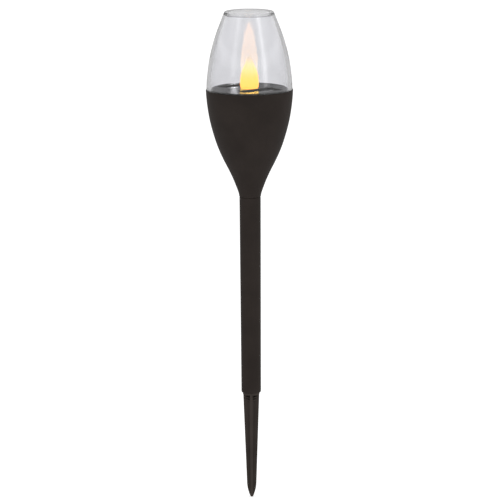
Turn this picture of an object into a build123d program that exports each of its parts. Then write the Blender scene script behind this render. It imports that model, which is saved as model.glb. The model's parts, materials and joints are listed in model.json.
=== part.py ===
from build123d import *
import os
from math import cos, radians, sin

# Solar garden torch: a cruciform ground stake, a tubular pole and a tulip-shaped bowl that carries a
# lift-out light module (deck with two solar panels, LED flame, circuit and rechargeable cell) under a
# clear shade.
#
# Frame: +Z up on the torch's axis. Z = 0 is the underside of the stake's collar, where the soil begins.
# The long sides of the solar panels run along X. Lengths are in millimetres, angles in degrees.

# ---------------------------------------------------------------- driving dimensions
STAKE_LENGTH = 95.0  # collar underside to tip
COLLAR_THICKNESS = 1.5
POLE_LENGTH = 178.0
BOWL_HEIGHT = 96.0  # seam on the pole to the rim
SHADE_HEIGHT = 69.0  # rim to the flat top

POLE_BOTTOM = COLLAR_THICKNESS
SEAM = POLE_BOTTOM + POLE_LENGTH
RIM = SEAM + BOWL_HEIGHT
SHADE_TOP = RIM + SHADE_HEIGHT

# Wall curves: (radius, height above the curve's base, lean from vertical, positive outwards)
BOWL_CURVE = (
    (9.5, 0.0, 6.0),
    (12.6, 10.4, 20.0),
    (20.7, 28.3, 27.5),
    (30.4, 51.0, 17.5),
    (36.4, 75.2, 9.0),
    (38.5, BOWL_HEIGHT, 1.5),
)
SHADE_CURVE = (
    (38.0, 0.0, -1.0),
    (36.2, 21.0, -8.0),
    (31.6, 42.0, -16.0),
    (23.2, 65.2, -21.0),
)
FLAME_CURVE = (
    (7.5, 0.0, 20.0),
    (8.3, 4.2, 0.0),
    (7.35, 12.8, -10.0),
    (4.5, 20.2, -23.0),
    (2.5, 24.9, -25.0),
    (0.0, 28.4, -90.0),
)

# Stake
FIN_ANGLE = 57.0  # direction of one of the two crossed blades
FIN_THICKNESS = 2.2
FIN_TOP_RADIUS = 7.15
FIN_SHOULDER_RADIUS = 4.25
FIN_SHOULDER = -81.0  # where the straight taper ends and the pointed nose begins
NOSE_RADIUS = 1.45
CORE_TOP_RADIUS = 2.5
CORE_END_RADIUS = 1.3
WEB_RADIUS = 5.1
WEB_THICKNESS = 0.7
WEB_HEIGHTS = (-2.9, -4.9)
COLLAR_RADIUS = 7.4
SPIGOT_RADIUS = 6.25
SPIGOT_HOLLOW_RADIUS = 4.6
SPIGOT_LENGTH = 30.0

# Pole
FIT_GAP = 0.05  # radial gap of a sliding fit
POLE_BOTTOM_RADIUS = 8.75
POLE_TOP_RADIUS = 9.45
POLE_END_ROUND = 1.5
SEAM_CHAMFER = 0.45
SPIGOT_SOCKET_DEPTH = 32.0
NECK_SOCKET_DEPTH = 27.0

# Bowl
NECK_RADIUS = 6.85
NECK_BORE_RADIUS = 5.2
NECK_LENGTH = 25.0
BOWL_WALL = 2.2
FUNNEL_TOP = 4.0  # height above the seam where the neck bore opens into the bowl
RIM_BORE_RADIUS = 36.2
LEDGE = RIM - 7.5
LEDGE_BORE_RADIUS = 34.0

# Clear shade, whose spigot stands in the rim's bore
SHADE_WALLS = (3.2, 2.8, 2.4)  # at the curve's points above the rim
SHADE_CEILING = SHADE_TOP - 1.3
SHADE_BOTTOM = RIM - 4.0
SHADE_BORE_RADIUS = 34.5
SHADE_SPIGOT_RADIUS = 35.9
SHADE_EDGE_ROUND = 1.1
SHADE_CEILING_ROUND = 4.0

# Light module, from the ledge upwards
GASKET_THICKNESS = 1.0
FLANGE_RADIUS = 35.9
FLANGE_BOTTOM = LEDGE + GASKET_THICKNESS
FLANGE_TOP = FLANGE_BOTTOM + 1.5
DECK_TOP = RIM + 0.8
DECK_RADIUS = 34.35
DECK_WALL = 1.85
DECK_PLATE = 1.8
DECK_UNDERSIDE = DECK_TOP - DECK_PLATE

# Solar panels
PANEL_LENGTH = 36.0
PANEL_WIDTH = 17.0
PANEL_OFFSET = 16.85  # deck centre to panel centre, along Y
PANEL_TOP = DECK_TOP - 1.2
PANEL_BOARD = 0.8
CELL_THICKNESS = 0.2
EPOXY_THICKNESS = 0.8
PANEL_BOTTOM = PANEL_TOP - EPOXY_THICKNESS - PANEL_BOARD
POCKET_GAP = 0.2
WELL_WALL = 1.2
WELL_BOTTOM = PANEL_BOTTOM - 1.4
CELLS_PER_PANEL = 4
CELL_LENGTH = 8.3
CELL_GAP = 0.4
CELL_WIDTH = 15.4
PANEL_WIRE_X = 7.0

# Flame and its LED
FLAME_WALL = 1.3
FLAME_HOLE_RADIUS = 4.7
FLAME_PLUG_RADIUS = 4.65
FLAME_PLUG_BORE = 3.6
LED_RADIUS = 2.5
LED_FLANGE_RADIUS = 2.9
LED_FLANGE = 1.0
LED_LENGTH = 8.7
LED_BOTTOM = DECK_UNDERSIDE - LED_FLANGE
LED_PITCH = 2.54
LEAD_WIDTH = 0.5
HOLDER_FLANGE_RADIUS = 6.0

# Circuit board and what fastens it
BOARD_TOP = RIM - 10.4
BOARD_THICKNESS = 1.6
BOARD_BOTTOM = BOARD_TOP - BOARD_THICKNESS
BOARD_LENGTH = 42.0
BOARD_WIDTH = 22.0
POST_X = 16.0
POST_RADIUS = 2.4
BOARD_SCREW_RADIUS = 1.0
BOARD_SCREW_HEAD_RADIUS = 1.9
BOARD_SCREW_HEAD = 1.1
BOARD_SCREW_LENGTH = 6.0
BLIND_END = 0.3  # how much deeper a blind hole is than its screw
CROSS_WIDTH = 0.5  # of the recess in a screw's head
CROSS_DEPTH = 0.7

# Parts soldered on the board, by their centres, and the leads that go through it
INDUCTOR_SPOT = (-8.0, 4.5)
INDUCTOR_LENGTH = 8.0
INDUCTOR_RADIUS = 1.8
CAPACITOR_SPOT = (-9.5, -4.5)
CAPACITOR_HEIGHT = 5.0
CAPACITOR_RADIUS = 2.0
CHIP_SPOT = (8.0, 5.0)
CHIP_SIZE = (5.2, 1.6, 3.3)
RESISTOR_SPOT = (8.5, -3.5)
RESISTOR_LENGTH = 6.2
RESISTOR_RADIUS = 1.15
CAPACITOR_LEAD_PITCH = 2.0
CHIP_LEAD_PITCH = 1.27
COMPONENT_LEAD = 0.5
LEAD_END = 1.0  # how far a lead sticks out under the board
LEAD_REACH = 1.2  # from the end of a lying body to where its lead goes down
LEAD_BEND = 0.6
STAND_OFF = 0.6  # between the board and the bodies that stand on their leads

# Tray under the deck
TRAY_FLOOR = RIM - 28.0
FLOOR_THICKNESS = 1.6
TRAY_TOP_RADIUS = 31.6
TRAY_BOTTOM_RADIUS = 30.9
TRAY_FLANGE_RADIUS = 33.6
TRAY_WALL = 1.6
TRAY_FLANGE = 1.5
TRAY_EDGE_ROUND = 1.2
LIP_RADIUS = 32.3
LIP_HEIGHT = 1.4
SCREW_CIRCLE = 27.2
SCREW_COUNT = 4
SCREW_RADIUS = 1.25
SCREW_HEAD_RADIUS = 2.2
SCREW_HEAD = 1.6
SCREW_LENGTH = 6.0
SCREW_HOLE_GAP = 0.15
TRAY_BOSS_RADIUS = 2.9
TRAY_BOSS_WEB = 1.9
DECK_BOSS_RADIUS = 2.6

# Battery bay, its hinged cover and the cell
BAY_END = 25.7  # half of the bay's length
BAY_NEAR = -2.8  # the bay's two long walls, along Y
BAY_FAR = -15.2
BAY_CEILING = RIM - 15.0
BAY_WALL = 1.2
CELL_RADIUS = 5.05
SLEEVE_THICKNESS = 0.1
SLEEVE_BARE = 0.5  # what the sleeve leaves bare at each end of the can
CELL_BODY_LENGTH = 43.3
NUB_RADIUS = 1.9
NUB_LENGTH = 1.2
CELL_Y = (BAY_NEAR + BAY_FAR) / 2
CELL_Z = RIM - 20.7
CONTACT_THICKNESS = 0.4
CONTACT_WIDTH = 8.6
TAB_WIDTH = 2.4
TAB_NOTCH = 1.0
TAB_GAP = 0.2
TAB_TOP = BAY_CEILING + BAY_WALL + 0.5
CONTACT_FACE = BAY_END - CONTACT_THICKNESS
CELL_END = CONTACT_FACE - NUB_LENGTH
SPRING_WIRE = 0.7
SPRING_RADIUS = 3.0
SPRING_PITCH = 1.3
SPRING_SPACE = CELL_END - CELL_BODY_LENGTH + CONTACT_FACE
HINGE_Y = -1.0
HINGE_Z = TRAY_FLOOR + FLOOR_THICKNESS / 2
KNUCKLE_RADIUS = 1.3
PEG_RADIUS = 0.85
COVER_END = 24.4  # half of the cover's length
COVER_FAR = -16.7
COVER_GAP = 0.35
COVER_TAB_WIDTH = 9.0
COVER_TAB = 1.5
COVER_TAB_THICKNESS = 1.0
EAR_LENGTH = 2.4
EAR_RADIUS = 2.0
EAR_END = COVER_END + COVER_GAP + EAR_LENGTH  # half of the length over both ears
GRIP_LINES = (3, 1.4, 0.6, 0.4)  # count, pitch, width and depth

# Slide switch
SWITCH_Y = 14.0
SWITCH_LENGTH = 8.6
SWITCH_WIDTH = 4.6
SWITCH_HEIGHT = 4.0
SWITCH_TRAVEL = 2.0
SWITCH_TOP = TRAY_FLOOR + FLOOR_THICKNESS + SWITCH_HEIGHT
LEVER_SIZE = 2.1
LEVER_PROUD = 1.1
LEVER_HEAD = 2.4  # the lever's height inside the housing
LEVER_GAP = 0.15
SLOT_GAP = 0.3
TERMINAL_PITCH = 2.5
TERMINAL_SIZE = (0.7, 0.4, 2.8)

# Wires
WIRE_DIAMETER = 0.9
WIRE_BEND = 2.6
WIRE_HOLE_GAP = 0.25
WIRE_CREST = BOARD_TOP + 4.0
PANEL_WIRE_Y = BOARD_WIDTH / 2 - 1.3
BATTERY_PAD = (18.5, -8.0)
SWITCH_PAD_Y = 7.0

BOTTOM = (Align.CENTER, Align.CENTER, Align.MIN)
TOP = (Align.CENTER, Align.CENTER, Align.MAX)


# ---------------------------------------------------------------- helpers
def wall_points(curve, base, insets=None):
    """The curve's points above base, each moved inwards by its inset along the wall's normal."""
    points = []
    for (radius, height, lean), inset in zip(curve, insets or [0.0] * len(curve)):
        slope = radians(lean)
        points.append((radius - inset * cos(slope), base + height + inset * sin(slope)))
    return points


def wall_tangents(curve):
    """The upward directions of the curve at its points."""
    return [(sin(radians(lean)), cos(radians(lean))) for _, _, lean in curve]


def upright_plane(angle):
    """A vertical plane through the torch's axis, turned by angle from the XZ plane."""
    turn = radians(angle)
    return Plane(origin=(0, 0, 0), x_dir=(cos(turn), sin(turn), 0), z_dir=(sin(turn), -cos(turn), 0))


def finish(builder, node):
    """Label a finished piece and write it."""
    builder.part.label = node
    export_step(builder.part, f"parts/{node}.step")


os.makedirs("parts", exist_ok=True)

# ---------------------------------------------------------------- ground stake
with BuildPart() as ground_stake:
    for blade_angle in (FIN_ANGLE, FIN_ANGLE + 90):
        with BuildSketch(upright_plane(blade_angle)):
            with BuildLine():
                side = Polyline(
                    (0, COLLAR_THICKNESS / 2),
                    (FIN_TOP_RADIUS, COLLAR_THICKNESS / 2),
                    (FIN_TOP_RADIUS, 0),
                    (FIN_SHOULDER_RADIUS, FIN_SHOULDER),
                )
                nose_side = TangentArc(
                    side @ 1, (NOSE_RADIUS, NOSE_RADIUS * 0.8 - STAKE_LENGTH), tangent=(-0.02, -1)
                )
                RadiusArc(nose_side @ 1, (0, -STAKE_LENGTH), NOSE_RADIUS * 1.15)
                mirror(about=Plane.YZ)
            make_face()
        extrude(amount=FIN_THICKNESS / 2, both=True)
    with Locations((0, 0, FIN_SHOULDER)):
        Cone(CORE_END_RADIUS, CORE_TOP_RADIUS, -FIN_SHOULDER, align=BOTTOM)
    for web_height in WEB_HEIGHTS:
        with Locations((0, 0, web_height)):
            Cylinder(WEB_RADIUS, WEB_THICKNESS)
    Cylinder(COLLAR_RADIUS, COLLAR_THICKNESS, align=BOTTOM)
    with Locations((0, 0, COLLAR_THICKNESS)):
        Cylinder(SPIGOT_RADIUS, SPIGOT_LENGTH, align=BOTTOM)
    with Locations((0, 0, 2 * COLLAR_THICKNESS)):
        Cylinder(SPIGOT_HOLLOW_RADIUS, SPIGOT_LENGTH, align=BOTTOM, mode=Mode.SUBTRACT)
    spigot_mouth = ground_stake.edges().group_by(Axis.Z)[-1].sort_by(SortBy.RADIUS)[-1]
    chamfer(spigot_mouth, length=0.6)
finish(ground_stake, "ground_stake")

# ---------------------------------------------------------------- pole
with BuildPart() as pole:
    with BuildSketch(Plane.XZ):
        with BuildLine():
            Polyline(
                (SPIGOT_RADIUS + FIT_GAP, POLE_BOTTOM),
                (POLE_BOTTOM_RADIUS, POLE_BOTTOM),
                (POLE_TOP_RADIUS, SEAM),
                (NECK_RADIUS + FIT_GAP, SEAM),
                (NECK_RADIUS + FIT_GAP, SEAM - NECK_SOCKET_DEPTH),
                (SPIGOT_RADIUS + FIT_GAP, POLE_BOTTOM + SPIGOT_SOCKET_DEPTH),
                close=True,
            )
        make_face()
    revolve(axis=Axis.Z)
    fillet(pole.edges().group_by(Axis.Z)[0].sort_by(SortBy.RADIUS)[-1], radius=POLE_END_ROUND)
    chamfer(pole.edges().group_by(Axis.Z)[-1].sort_by(SortBy.RADIUS)[-1], length=SEAM_CHAMFER)
finish(pole, "pole")

# ---------------------------------------------------------------- bowl
# The inner wall follows the outer one from its second point up, and ends on the ledge.
with BuildPart() as bowl_shell:
    with BuildSketch(Plane.XZ):
        with BuildLine():
            outside = Spline(*wall_points(BOWL_CURVE, SEAM), tangents=wall_tangents(BOWL_CURVE))
            inside_curve = BOWL_CURVE[1:-1]
            inside = Spline(
                *wall_points(inside_curve, SEAM, [BOWL_WALL] * len(inside_curve)),
                (LEDGE_BORE_RADIUS, LEDGE),
                tangents=wall_tangents(inside_curve) + [(0, 1)],
            )
            Polyline(
                outside @ 1,
                (RIM_BORE_RADIUS, RIM),
                (RIM_BORE_RADIUS, LEDGE),
                inside @ 1,
            )
            Polyline(
                inside @ 0,
                (NECK_BORE_RADIUS, SEAM + FUNNEL_TOP),
                (NECK_BORE_RADIUS, SEAM - NECK_LENGTH),
                (NECK_RADIUS, SEAM - NECK_LENGTH),
                (NECK_RADIUS, SEAM),
                outside @ 0,
            )
        make_face()
    revolve(axis=Axis.Z)
    rim_edge = bowl_shell.edges().group_by(Axis.Z)[-1].sort_by(SortBy.RADIUS)[-1]
    chamfer(rim_edge, length=0.3)
    neck_end = bowl_shell.edges().group_by(Axis.Z)[0].sort_by(SortBy.RADIUS)[-1]
    chamfer(neck_end, length=0.6)
    seam_circles = bowl_shell.edges().filter_by_position(Axis.Z, SEAM - 0.01, SEAM + 0.01)
    chamfer(seam_circles.sort_by(SortBy.RADIUS)[-1], length=SEAM_CHAMFER)
finish(bowl_shell, "bowl_shell")

# ---------------------------------------------------------------- deck
with BuildPart() as top_deck:
    with BuildSketch(Plane.XZ):
        with BuildLine():
            Polyline(
                (0, DECK_UNDERSIDE),
                (DECK_RADIUS - DECK_WALL, DECK_UNDERSIDE),
                (DECK_RADIUS - DECK_WALL, FLANGE_BOTTOM),
                (FLANGE_RADIUS, FLANGE_BOTTOM),
                (FLANGE_RADIUS, FLANGE_TOP),
                (DECK_RADIUS, FLANGE_TOP),
                (DECK_RADIUS, DECK_TOP),
                (0, DECK_TOP),
                close=True,
            )
        make_face()
    revolve(axis=Axis.Z)
    deck_edge = top_deck.edges().group_by(Axis.Z)[-1]
    fillet(deck_edge, radius=0.5)
    # Wells that carry the panels, under the plate
    with BuildSketch(Plane.XY.offset(WELL_BOTTOM)):
        with GridLocations(0, 2 * PANEL_OFFSET, 1, 2):
            Rectangle(
                PANEL_LENGTH + 2 * (POCKET_GAP + WELL_WALL), PANEL_WIDTH + 2 * (POCKET_GAP + WELL_WALL)
            )
    extrude(until=Until.NEXT)
    # Posts for the circuit board and bosses for the tray's screws
    with BuildSketch(Plane.XY.offset(BOARD_TOP)):
        with GridLocations(2 * POST_X, 0, 2, 1):
            Circle(POST_RADIUS)
    extrude(amount=DECK_UNDERSIDE - BOARD_TOP)
    with BuildSketch(Plane.XY.offset(FLANGE_BOTTOM)):
        with PolarLocations(SCREW_CIRCLE, SCREW_COUNT):
            Circle(DECK_BOSS_RADIUS)
    extrude(amount=DECK_UNDERSIDE - FLANGE_BOTTOM)
    # Pockets, with a wire hole for each pole of a panel
    with BuildSketch(Plane.XY.offset(PANEL_BOTTOM)):
        with GridLocations(0, 2 * PANEL_OFFSET, 1, 2):
            Rectangle(PANEL_LENGTH + 2 * POCKET_GAP, PANEL_WIDTH + 2 * POCKET_GAP)
    extrude(amount=DECK_TOP - PANEL_BOTTOM, mode=Mode.SUBTRACT)
    with BuildSketch(Plane.XY.offset(WELL_BOTTOM)):
        with GridLocations(2 * PANEL_WIRE_X, 2 * PANEL_WIRE_Y, 2, 2):
            Circle(WIRE_DIAMETER / 2 + WIRE_HOLE_GAP)
    extrude(amount=PANEL_BOTTOM - WELL_BOTTOM, mode=Mode.SUBTRACT)
    # Flame seat and blind screw holes
    with Locations((0, 0, DECK_TOP)):
        Hole(FLAME_HOLE_RADIUS, depth=DECK_PLATE)
    with Locations(Plane((0, 0, BOARD_TOP), z_dir=(0, 0, -1))):
        with GridLocations(2 * POST_X, 0, 2, 1):
            Hole(BOARD_SCREW_RADIUS, depth=BOARD_SCREW_LENGTH - BOARD_THICKNESS + BLIND_END)
    with Locations(Plane((0, 0, FLANGE_BOTTOM), z_dir=(0, 0, -1))):
        with PolarLocations(SCREW_CIRCLE, SCREW_COUNT):
            Hole(SCREW_RADIUS, depth=SCREW_LENGTH - TRAY_BOSS_WEB + BLIND_END)
finish(top_deck, "top_deck")

# ---------------------------------------------------------------- tray under the deck
with BuildPart() as module_tray:
    with BuildSketch(Plane.XZ):
        with BuildLine():
            Polyline(
                (0, TRAY_FLOOR),
                (TRAY_BOTTOM_RADIUS, TRAY_FLOOR),
                (TRAY_TOP_RADIUS, FLANGE_BOTTOM - TRAY_FLANGE),
                (TRAY_FLANGE_RADIUS, FLANGE_BOTTOM - TRAY_FLANGE),
                (TRAY_FLANGE_RADIUS, FLANGE_BOTTOM),
                (LIP_RADIUS, FLANGE_BOTTOM),
                (LIP_RADIUS, FLANGE_BOTTOM + LIP_HEIGHT),
                (LIP_RADIUS - TRAY_WALL, FLANGE_BOTTOM + LIP_HEIGHT),
                (TRAY_TOP_RADIUS - TRAY_WALL, FLANGE_BOTTOM),
                (TRAY_BOTTOM_RADIUS - TRAY_WALL, TRAY_FLOOR + FLOOR_THICKNESS),
                (0, TRAY_FLOOR + FLOOR_THICKNESS),
                close=True,
            )
        make_face()
    revolve(axis=Axis.Z)
    fillet(module_tray.edges().group_by(Axis.Z)[0], radius=TRAY_EDGE_ROUND)
    # Walled battery bay with its ceiling, and the screw bosses
    with BuildSketch(Plane.XY.offset(TRAY_FLOOR)):
        with Locations((0, (BAY_NEAR + BAY_FAR) / 2)):
            Rectangle(2 * (BAY_END + BAY_WALL), BAY_NEAR - BAY_FAR + 2 * BAY_WALL)
    extrude(amount=BAY_CEILING + BAY_WALL - TRAY_FLOOR)
    with BuildSketch(Plane.XY.offset(TRAY_FLOOR)):
        with PolarLocations(SCREW_CIRCLE, SCREW_COUNT):
            Circle(TRAY_BOSS_RADIUS)
    extrude(amount=FLANGE_BOTTOM - TRAY_FLOOR)
    # Ears for the cover's pegs, proud of the floor
    with BuildSketch(Plane.YZ.offset(-EAR_END)):
        with Locations((HINGE_Y, HINGE_Z)):
            Circle(EAR_RADIUS)
    extrude(amount=2 * EAR_END)
    # The bay, open through the floor, and the cover's own opening
    with BuildSketch(Plane.XY.offset(BAY_CEILING)):
        with Locations((0, (BAY_NEAR + BAY_FAR) / 2)):
            Rectangle(2 * BAY_END, BAY_NEAR - BAY_FAR)
    extrude(amount=TRAY_FLOOR + FLOOR_THICKNESS - BAY_CEILING, mode=Mode.SUBTRACT)
    with BuildSketch(Plane.XY.offset(HINGE_Z - EAR_RADIUS)):
        opening_far = COVER_FAR - COVER_GAP
        opening_near = HINGE_Y + KNUCKLE_RADIUS + COVER_GAP
        with Locations((0, (opening_far + opening_near) / 2)):
            Rectangle(2 * (COVER_END + COVER_GAP), opening_near - opening_far)
        with Locations((0, opening_far)):
            Rectangle(COVER_TAB_WIDTH + 2 * COVER_GAP, 2 * (COVER_TAB + COVER_GAP))
    extrude(amount=TRAY_FLOOR + FLOOR_THICKNESS - HINGE_Z + EAR_RADIUS, mode=Mode.SUBTRACT)
    with BuildSketch(Plane.YZ.offset(-COVER_END - COVER_GAP)):
        with Locations((HINGE_Y, HINGE_Z)):
            Circle(KNUCKLE_RADIUS + COVER_GAP)
    extrude(amount=2 * (COVER_END + COVER_GAP), mode=Mode.SUBTRACT)
    with BuildSketch(Plane.YZ.offset(-EAR_END)):
        with Locations((HINGE_Y, HINGE_Z)):
            Circle(PEG_RADIUS + FIT_GAP)
    extrude(amount=2 * EAR_END, mode=Mode.SUBTRACT)
    # Counterbored screw holes from below, the switch's slot and notches for the contact tabs
    with Locations(Plane((0, 0, TRAY_FLOOR), z_dir=(0, 0, -1))):
        with PolarLocations(SCREW_CIRCLE, SCREW_COUNT):
            CounterBoreHole(
                SCREW_RADIUS + SCREW_HOLE_GAP,
                SCREW_HEAD_RADIUS + 2 * SCREW_HOLE_GAP,
                FLANGE_BOTTOM - TRAY_BOSS_WEB - TRAY_FLOOR,
                FLANGE_BOTTOM - TRAY_FLOOR,
            )
    with BuildSketch(Plane.XY.offset(TRAY_FLOOR)):
        with Locations((0, SWITCH_Y)):
            Rectangle(SWITCH_TRAVEL + LEVER_SIZE + 2 * SLOT_GAP, LEVER_SIZE + 2 * SLOT_GAP)
    extrude(amount=FLOOR_THICKNESS, mode=Mode.SUBTRACT)
    with BuildSketch(Plane.XY.offset(BAY_CEILING)):
        with Locations((0, CELL_Y)):
            with GridLocations(2 * BAY_END - TAB_NOTCH, 0, 2, 1):
                Rectangle(TAB_NOTCH, TAB_WIDTH + 2 * TAB_GAP)
    extrude(amount=BAY_WALL, mode=Mode.SUBTRACT)
finish(module_tray, "module_tray")

# ---------------------------------------------------------------- battery cover
with BuildPart() as battery_cover:
    with BuildSketch(Plane.XY.offset(TRAY_FLOOR)):
        with Locations((0, (COVER_FAR + HINGE_Y) / 2)):
            Rectangle(2 * COVER_END, HINGE_Y - COVER_FAR)
    extrude(amount=FLOOR_THICKNESS)
    with BuildSketch(Plane.XY.offset(TRAY_FLOOR)):
        with Locations((0, COVER_FAR)):
            Rectangle(COVER_TAB_WIDTH, 2 * COVER_TAB)
    extrude(amount=COVER_TAB_THICKNESS)
    with BuildSketch(Plane.YZ.offset(-COVER_END)):
        with Locations((HINGE_Y, HINGE_Z)):
            Circle(KNUCKLE_RADIUS)
    extrude(amount=2 * COVER_END)
    with BuildSketch(Plane.YZ.offset(-COVER_END - EAR_LENGTH)):
        with Locations((HINGE_Y, HINGE_Z)):
            Circle(PEG_RADIUS)
    extrude(amount=2 * (COVER_END + EAR_LENGTH))
    # Grip lines across the outside of the tab side
    line_count, line_pitch, line_width, line_depth = GRIP_LINES
    with BuildSketch(Plane.XY.offset(TRAY_FLOOR)):
        with Locations((0, COVER_FAR + (line_count - 1) * line_pitch)):
            with GridLocations(0, line_pitch, 1, line_count):
                Rectangle(COVER_TAB_WIDTH, line_width)
    extrude(amount=line_depth, mode=Mode.SUBTRACT)
finish(battery_cover, "battery_cover")

# ---------------------------------------------------------------- rubber rings
with BuildPart() as module_gasket:
    with BuildSketch(Plane.XZ):
        with Locations(((LEDGE_BORE_RADIUS + FLANGE_RADIUS + 0.2) / 2, LEDGE + GASKET_THICKNESS / 2)):
            RectangleRounded(FLANGE_RADIUS - LEDGE_BORE_RADIUS - 0.2, GASKET_THICKNESS, 0.25)
    revolve(axis=Axis.Z)
finish(module_gasket, "module_gasket")

with BuildPart() as shade_seal:
    with BuildSketch(Plane.XZ):
        seal_height = SHADE_BOTTOM - FLANGE_TOP
        with Locations(((SHADE_BORE_RADIUS + FLANGE_RADIUS) / 2, FLANGE_TOP + seal_height / 2)):
            RectangleRounded(FLANGE_RADIUS - SHADE_BORE_RADIUS, seal_height, 0.3)
    revolve(axis=Axis.Z)
finish(shade_seal, "shade_seal")

# ---------------------------------------------------------------- clear shade
with BuildPart() as shade:
    with BuildSketch(Plane.XZ):
        with BuildLine():
            outside = Spline(*wall_points(SHADE_CURVE, RIM), tangents=wall_tangents(SHADE_CURVE))
            lean_top = wall_tangents(SHADE_CURVE)[-1]
            top_edge = outside @ 1 + Vector(*lean_top) * ((SHADE_TOP - (outside @ 1).Y) / lean_top[1])
            inside_curve = SHADE_CURVE[1:]
            inside = Spline(
                (SHADE_BORE_RADIUS, RIM + 2.0),
                *wall_points(inside_curve, RIM, SHADE_WALLS),
                tangents=[(0, 1)] + wall_tangents(inside_curve),
            )
            ceiling_edge = inside @ 1 + Vector(*lean_top) * ((SHADE_CEILING - (inside @ 1).Y) / lean_top[1])
            Polyline(outside @ 1, top_edge, (0, SHADE_TOP), (0, SHADE_CEILING), ceiling_edge, inside @ 1)
            Polyline(
                inside @ 0,
                (SHADE_BORE_RADIUS, SHADE_BOTTOM),
                (SHADE_SPIGOT_RADIUS, SHADE_BOTTOM),
                (SHADE_SPIGOT_RADIUS, RIM),
                outside @ 0,
            )
        make_face()
    revolve(axis=Axis.Z)
    fillet(shade.edges().group_by(Axis.Z)[-1], radius=SHADE_EDGE_ROUND)
    ceiling_circles = shade.edges().filter_by_position(Axis.Z, SHADE_CEILING - 0.01, SHADE_CEILING + 0.01)
    fillet(ceiling_circles, radius=SHADE_CEILING_ROUND)
finish(shade, "shade")

# ---------------------------------------------------------------- flame diffuser
# A hollow teardrop with a plug that pushes into the deck.
with BuildPart() as flame_diffuser:
    with BuildSketch(Plane.XZ):
        with BuildLine():
            outside = Spline(*wall_points(FLAME_CURVE, DECK_TOP), tangents=wall_tangents(FLAME_CURVE))
            middle_curve = FLAME_CURVE[1:]
            inside = Spline(
                (FLAME_PLUG_BORE, DECK_TOP + 1.2),
                *wall_points(middle_curve, DECK_TOP, [FLAME_WALL] * len(middle_curve)),
                tangents=[wall_tangents(FLAME_CURVE)[0]] + wall_tangents(middle_curve),
            )
            Polyline(outside @ 1, inside @ 1)
            Polyline(
                inside @ 0,
                (FLAME_PLUG_BORE, DECK_UNDERSIDE),
                (FLAME_PLUG_RADIUS, DECK_UNDERSIDE),
                (FLAME_PLUG_RADIUS, DECK_TOP),
                outside @ 0,
            )
        make_face()
    revolve(axis=Axis.Z)
finish(flame_diffuser, "flame_diffuser")

# ---------------------------------------------------------------- LED, leads and holder
with BuildPart() as flame_led:
    with Locations((0, 0, LED_BOTTOM)):
        Cylinder(LED_FLANGE_RADIUS, LED_FLANGE, align=BOTTOM)
        Cylinder(LED_RADIUS, LED_LENGTH - LED_RADIUS, align=BOTTOM)
    with Locations((0, 0, LED_BOTTOM + LED_LENGTH - LED_RADIUS)):
        Sphere(LED_RADIUS)
finish(flame_led, "flame_led")

with BuildPart() as led_leads:
    with BuildSketch(Plane.XY.offset(BOARD_BOTTOM - 0.9)):
        with GridLocations(LED_PITCH, 0, 2, 1):
            Rectangle(LEAD_WIDTH, LEAD_WIDTH)
    extrude(amount=LED_BOTTOM - BOARD_BOTTOM + 0.9)
finish(led_leads, "led_leads")

with BuildPart() as led_holder:
    with Locations((0, 0, LED_BOTTOM)):
        Cylinder(HOLDER_FLANGE_RADIUS, LED_FLANGE, align=BOTTOM)
        Cylinder(FLAME_PLUG_BORE - FIT_GAP, LED_FLANGE + DECK_PLATE, align=BOTTOM)
        Cylinder(LED_FLANGE_RADIUS + FIT_GAP, LED_FLANGE, align=BOTTOM, mode=Mode.SUBTRACT)
        Cylinder(LED_RADIUS + FIT_GAP, LED_LENGTH, align=BOTTOM, mode=Mode.SUBTRACT)
finish(led_holder, "led_holder")

# ---------------------------------------------------------------- solar panels
# Each panel is a board with a row of silicon cells, cast over with clear epoxy.
for panel_name, panel_side in (("front", -1), ("rear", 1)):
    panel_centre = (0, panel_side * PANEL_OFFSET)
    cell_level = PANEL_BOTTOM + PANEL_BOARD
    with BuildPart() as panel_board:
        with BuildSketch(Plane.XY.offset(PANEL_BOTTOM)):
            with Locations(panel_centre):
                Rectangle(PANEL_LENGTH, PANEL_WIDTH)
        extrude(amount=PANEL_BOARD)
    finish(panel_board, f"solar_panel_{panel_name}")

    with BuildPart() as solar_cells:
        with BuildSketch(Plane.XY.offset(cell_level)):
            with Locations(panel_centre):
                with GridLocations(CELL_LENGTH + CELL_GAP, 0, CELLS_PER_PANEL, 1):
                    Rectangle(CELL_LENGTH, CELL_WIDTH)
        extrude(amount=CELL_THICKNESS)
    finish(solar_cells, f"solar_cells_{panel_name}")

    with BuildPart() as panel_epoxy:
        with BuildSketch(Plane.XY.offset(cell_level)):
            with Locations(panel_centre):
                RectangleRounded(PANEL_LENGTH, PANEL_WIDTH, 0.8)
        extrude(amount=EPOXY_THICKNESS)
        fillet(panel_epoxy.edges().group_by(Axis.Z)[-1], radius=0.25)
        with BuildSketch(Plane.XY.offset(cell_level)):
            with Locations(panel_centre):
                with GridLocations(CELL_LENGTH + CELL_GAP, 0, CELLS_PER_PANEL, 1):
                    Rectangle(CELL_LENGTH, CELL_WIDTH)
        extrude(amount=CELL_THICKNESS, mode=Mode.SUBTRACT)
    finish(panel_epoxy, f"panel_epoxy_{panel_name}")

# ---------------------------------------------------------------- circuit board and parts on it
lying_bodies = (
    ("inductor", INDUCTOR_SPOT, INDUCTOR_LENGTH, INDUCTOR_RADIUS, 0.7),
    ("resistor", RESISTOR_SPOT, RESISTOR_LENGTH, RESISTOR_RADIUS, 0.5),
)
standing_bodies = ((CAPACITOR_SPOT, CAPACITOR_LEAD_PITCH, 2), (CHIP_SPOT, CHIP_LEAD_PITCH, 4))
lying_spots = [
    (spot[0] + lead_side * (length / 2 + LEAD_REACH), spot[1])
    for _, spot, length, _, _ in lying_bodies
    for lead_side in (-1, 1)
]
standing_spots = [
    (spot[0] + (number - (count - 1) / 2) * pitch, spot[1])
    for spot, pitch, count in standing_bodies
    for number in range(count)
]

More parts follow.
